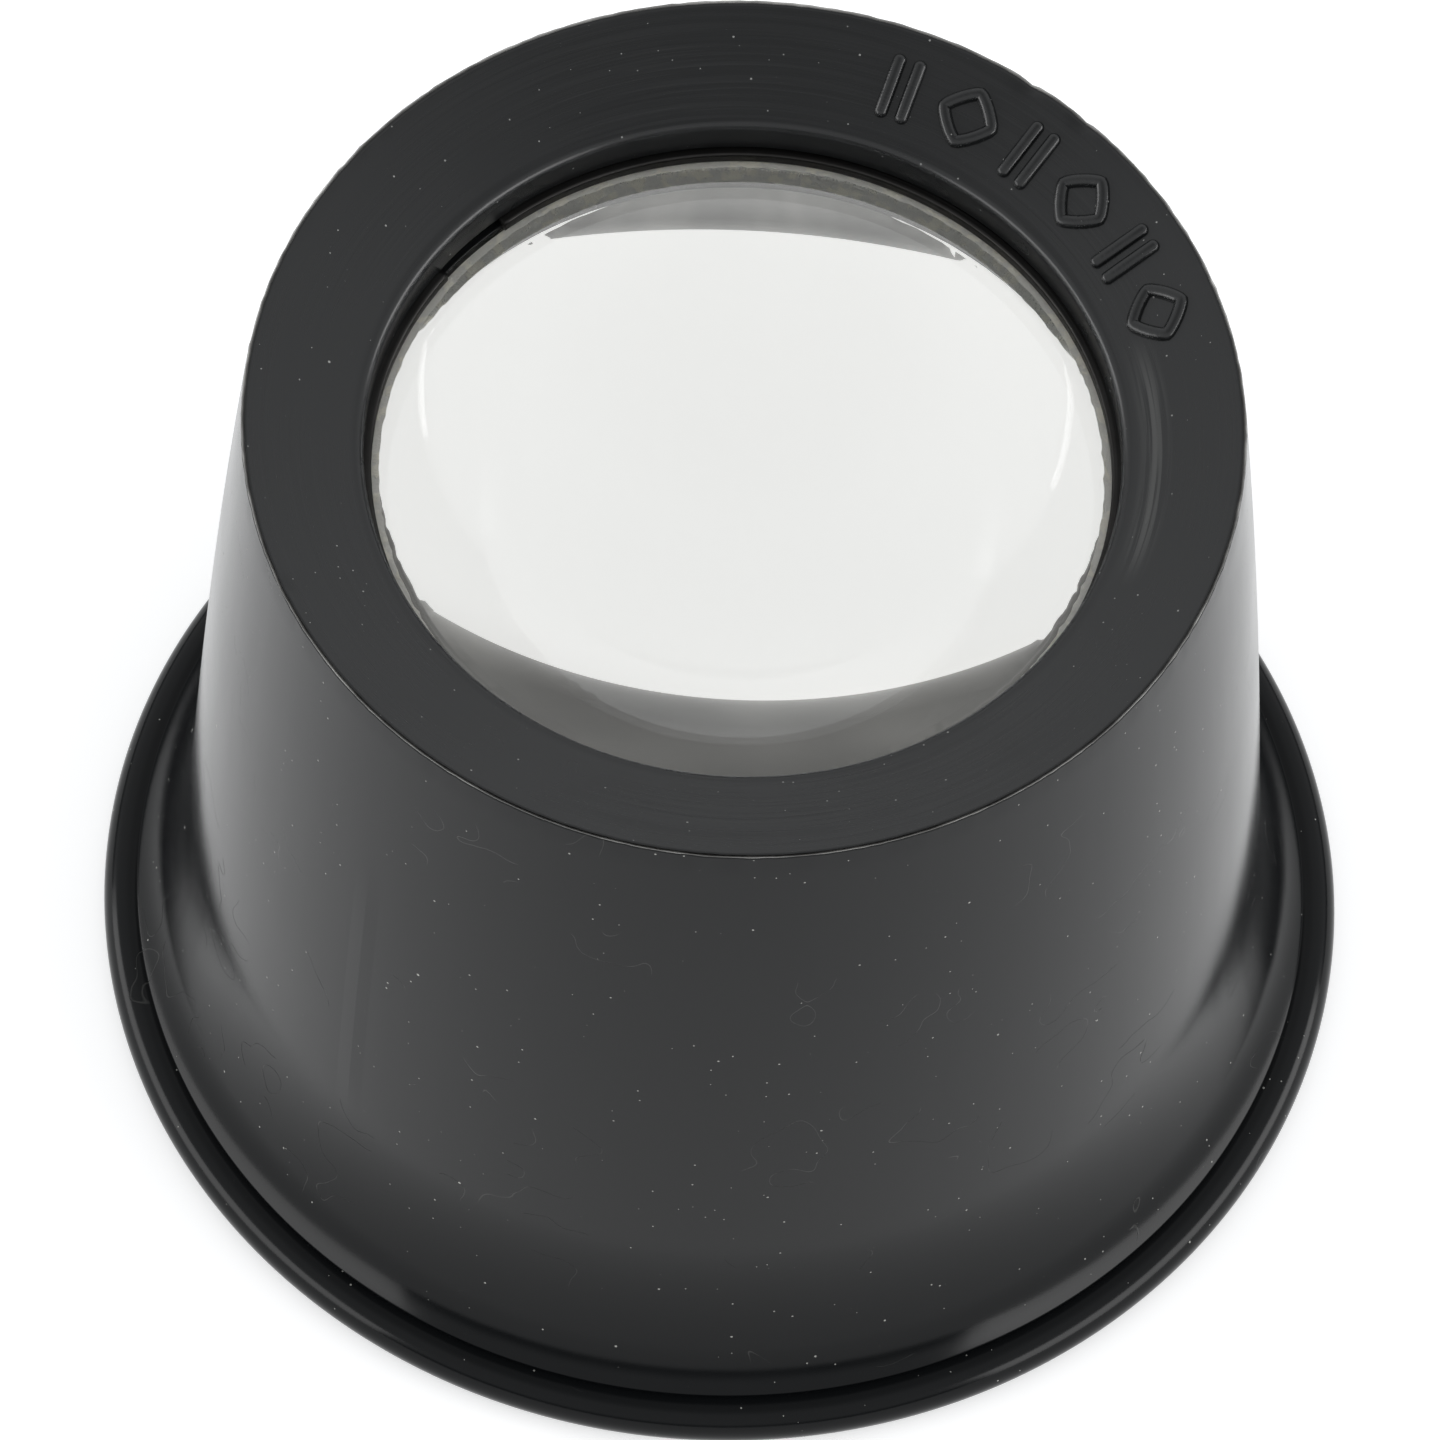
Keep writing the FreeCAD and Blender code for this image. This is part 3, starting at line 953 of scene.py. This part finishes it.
@dataclass
class LoupeLens:
    """The biconvex lens with its ground rim and bevels."""

    radius: float = 10.85
    front: float = 25.0
    rear: float = 23.2
    curve: float = 41.0
    bevel_width: float = 0.35
    bevel_height: float = 0.2
    columns: int = 300

    def half(self, edge: float, way: int) -> np.ndarray:
        """One face's section from the pole outwards, a circle's arc through the bevel's inner corner."""
        clear = self.radius - self.bevel_width
        distance = np.linspace(0, 1, 40) ** 0.8 * clear
        base = math.sqrt(self.curve**2 - clear**2)
        rise = self.bevel_height + np.sqrt(self.curve**2 - distance**2) - base
        return np.stack([distance, edge + way * rise], axis=1)

    def build(self) -> bpy.types.Object:
        """Turn the section from pole to pole; the polished faces and the rim differ in slot."""
        rear, front = self.half(self.rear, -1), self.half(self.front, 1)[::-1]
        rim_corners = np.array([[self.radius, self.rear], [self.radius, self.front]])
        rim = soften(np.vstack([rear[-1:], rim_corners, front[:1]]), np.array([0, 0.04, 0.04, 0]), 4)[1:-1]
        azimuth = around(self.columns)
        jag = ripple(azimuth, 21, 30, 260, 60)
        section = np.vstack([rear, rim, front])
        middle = 1 + np.arange(len(section) - 2)
        ring_radius = section[middle, :1] + 0 * azimuth
        at_bevel = np.isin(middle, [len(rear) - 1, len(rear) + len(rim)])[:, None]
        chip = np.where(at_bevel, 0.05 * np.clip(jag, -1, 0.2), 0.0)
        points = turned(ring_radius + chip, section[middle, 1:] + 0 * azimuth, azimuth)
        rows, total = len(middle), len(points)
        poles = np.array([[0, 0, section[0, 1]], [0, 0, section[-1, 1]]])
        quads = grid_quads(rows, self.columns, False, True)
        here = np.arange(self.columns)
        after = (here + 1) % self.columns
        low = np.stack([after, here, np.full_like(here, total)], axis=1)
        base = (rows - 1) * self.columns
        high = np.stack([base + here, base + after, np.full_like(here, total + 1)], axis=1)
        row = np.repeat(np.arange(rows - 1), self.columns)
        ground = (row >= len(rear) - 2) & (row <= len(rear) + len(rim) - 2)
        slots = np.concatenate([ground.astype(int), np.zeros(2 * self.columns, int)])
        faces = quads.tolist() + low.tolist() + high.tolist()
        return make_mesh("lens_glass", np.vstack([points, poles]), faces, slots)


@dataclass
class SnapHoop:
    """The split hoop that springs into the bore's groove."""

    inner: float = 10.72
    outer: float = 11.36
    bottom: float = 25.1
    top: float = 25.52
    split: float = 2.5
    split_azimuth: float = 139.0
    rounding: float = 0.09

    def build(self) -> bpy.types.Object:
        """Carry a rounded rectangle along the hoop's arc and close both ends with flat caps."""
        right = [[self.outer, self.bottom], [self.outer, self.top]]
        left = [[self.inner, self.top], [self.inner, self.bottom]]
        section = soften(np.array(right + left), np.full(4, self.rounding), 4)
        half = math.asin(self.split / 2 / ((self.inner + self.outer) / 2))
        middle = math.radians(self.split_azimuth)
        azimuth = np.linspace(middle + half, middle + TURN - half, 320)[:, None]
        points = turned(section[None, :, 0], section[None, :, 1], azimuth)
        count = len(section)
        quads = grid_quads(len(azimuth), count, False, True)
        first = list(range(count))[::-1]
        last = [(len(azimuth) - 1) * count + k for k in range(count)]
        return make_mesh("snap_hoop", points, quads.tolist() + [first, last])


# ---------------------------------------------------------------- studio


@dataclass
class SoftBox:
    """A wide soft light that looks at the loupe from an azimuth and an elevation."""

    name: str
    azimuth: float
    power: float
    elevation: float = 10.0
    distance: float = 0.45
    wide: float = 0.62
    tall: float = 0.2

    def build(self, aim: Vector) -> None:
        """Add the light."""
        data = bpy.data.lights.new(self.name, "AREA")
        data.shape = "RECTANGLE"
        data.size, data.size_y = self.wide, self.tall
        data.energy = self.power
        turn, rise = math.radians(self.azimuth), math.radians(self.elevation)
        way = Vector((math.cos(turn) * math.cos(rise), math.sin(turn) * math.cos(rise), math.sin(rise)))
        lamp = bpy.data.objects.new(self.name, data)
        lamp.location = aim + way * self.distance
        lamp.rotation_euler = (-way).to_track_quat("-Z", "Y").to_euler()
        bpy.context.scene.collection.objects.link(lamp)


@dataclass
class Studio:
    """Floor, sky, soft lights and the camera."""

    sky: float = 0.9
    zenith: float = 0.45
    horizon: float = 0.12
    camera_elevation: float = 58.40
    camera_distance: float = 0.509
    camera_roll: float = -2.97
    aim_right: float = 0.0789
    aim_up: float = 0.9638
    lens: float = 441.7

    def floor(self) -> None:
        """Add the floor."""
        reach = 3000.0
        corners = np.array([[-1, -1, 0], [1, -1, 0], [1, 1, 0], [-1, 1, 0]]) * reach
        mesh = bpy.data.meshes.new("floor")
        mesh.from_pydata((corners * MM).tolist(), [], [(0, 1, 2, 3)])
        mesh.materials.append(FloorWithPaintedLightPool().build())
        sheet = bpy.data.objects.new("floor", mesh)
        bpy.context.scene.collection.objects.link(sheet)

    def light(self, aim: Vector) -> None:
        """Set the sky and add the soft lights."""
        world = bpy.data.worlds.new("sky")
        bpy.context.scene.world = world
        graph = Graph(world, "ShaderNodeOutputWorld")
        _, _, up = graph.parts(graph.node("ShaderNodeTexCoord", {}, {}).outputs["Generated"])
        rising, fading = up.ramp(0.05, 0.24), up.ramp(0.78, 0.99)
        strength = self.horizon + rising * (self.sky - self.horizon) - fading * (self.sky - self.zenith)
        sockets = {"Color": (0.97, 0.985, 1.0, 1.0), "Strength": strength}
        shader = graph.node("ShaderNodeBackground", {}, sockets)
        graph.tree.links.new(shader.outputs[0], graph.output.inputs["Surface"])
        SoftBox("left light", azimuth=190, power=1.45).build(aim)
        SoftBox("right light", azimuth=-14, power=1.75).build(aim)

    def camera(self, aim: Vector) -> None:
        """Add the camera, which looks down at the aim from the front, a little past it."""
        rise = math.radians(self.camera_elevation)
        away = Vector((0, -math.cos(rise), math.sin(rise))) * self.camera_distance
        forward = -away.normalized()
        right = Vector((1, 0, 0))
        level = Matrix((right, right.cross(forward), -forward))
        roll = Matrix.Rotation(math.radians(self.camera_roll), 3, "Z")
        ahead = Vector((math.tan(math.radians(self.aim_right)), math.tan(math.radians(self.aim_up)), -1))
        nudge = Vector((0, 0, -1)).rotation_difference(ahead).to_matrix()
        data = bpy.data.cameras.new("camera")
        data.lens, data.sensor_width = self.lens, 36.0
        data.clip_start, data.clip_end = 0.01, 20.0
        camera = bpy.data.objects.new("camera", data)
        camera.matrix_world = Matrix.Translation(aim + away) @ (nudge @ roll @ level).transposed().to_4x4()
        bpy.context.scene.collection.objects.link(camera)
        bpy.context.scene.camera = camera

    def build(self, aim: Vector) -> None:
        """Set up everything that isn't the loupe."""
        self.floor()
        self.light(aim)
        self.camera(aim)
        bpy.context.scene.view_settings.view_transform = "Standard"


def main() -> None:
    """Build the loupe piece by piece on the CAD frame, then the studio."""
    logging.basicConfig(level=logging.INFO, format="%(message)s")
    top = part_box("eye_cup")[1].z / MM
    dents = [Dent(57.0, 0.35, 0.10), Dent(49.0, 0.3, 0.08), Dent(206.0, 0.3, 0.08)]
    turned_finish = TurnedPlastic().build()
    cup = EyeCup(top).build(dents)
    dress(cup, "cup", [MouldedPlastic().build(), PaintedLightBore().build()], ("eye_cup",))
    ring = FrontRing(top)
    dress(ring.build(dents), "front", [turned_finish], ("lens_ring",))
    dress(FaceMarks(top, ring.slope).build(), "front", [turned_finish])
    glass = LoupeLens().build()
    dress(glass, "optic", [PolishedGlass().build(), GroundGlass().build()], ("lens",))
    dress(SnapHoop().build(), "front", [SpringSteel().build()], ("snap_ring",))
    Studio().build(Vector((0, 0, top * MM)))


if __name__ == "__main__":
    main()
